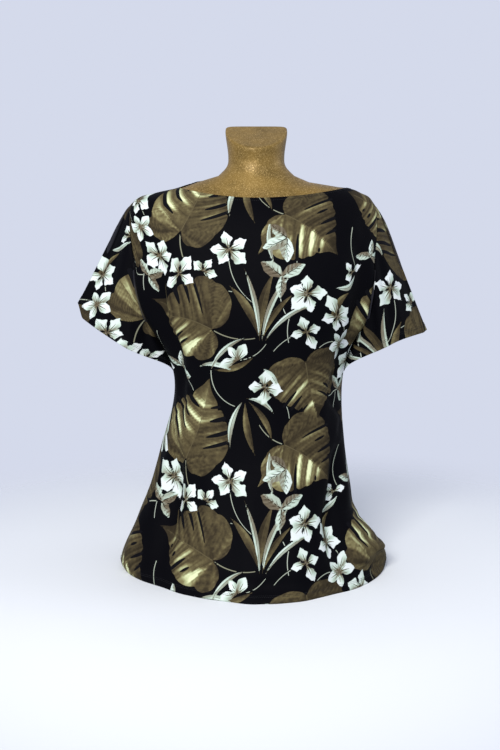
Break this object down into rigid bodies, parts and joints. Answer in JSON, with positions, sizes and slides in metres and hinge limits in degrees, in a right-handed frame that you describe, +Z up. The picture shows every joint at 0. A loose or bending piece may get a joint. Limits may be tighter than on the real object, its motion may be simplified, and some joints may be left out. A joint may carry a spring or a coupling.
{
  "type": "tunic on dress form",
  "caption": "Loose short-sleeved tunic top in printed jersey, standing on a limbless dress form with its flared hem spread on the surface.",
  "frame": {"origin": "centre of the dress form's flat base, on the surface that it stands on", "axes": "+Z up, -Y out of the garment's front, +X towards the viewer's right when the front faces them"},
  "size_m": [0.666, 0.4117, 0.8435],
  "materials": {
    "printed_cloth": "smooth stretch jersey, near black, printed with leaves and blossoms in olive, cream and white, with a slight sheen",
    "gilt_form": "semi-gloss bronze gilt with fine glitter flake"
  },
  "bodies": {
    "root": {"front_panel": "printed_cloth", "back_panel": "printed_cloth", "sleeve_left": "printed_cloth", "sleeve_right": "printed_cloth", "dress_form": "gilt_form"}
  },
  "joints": []
}
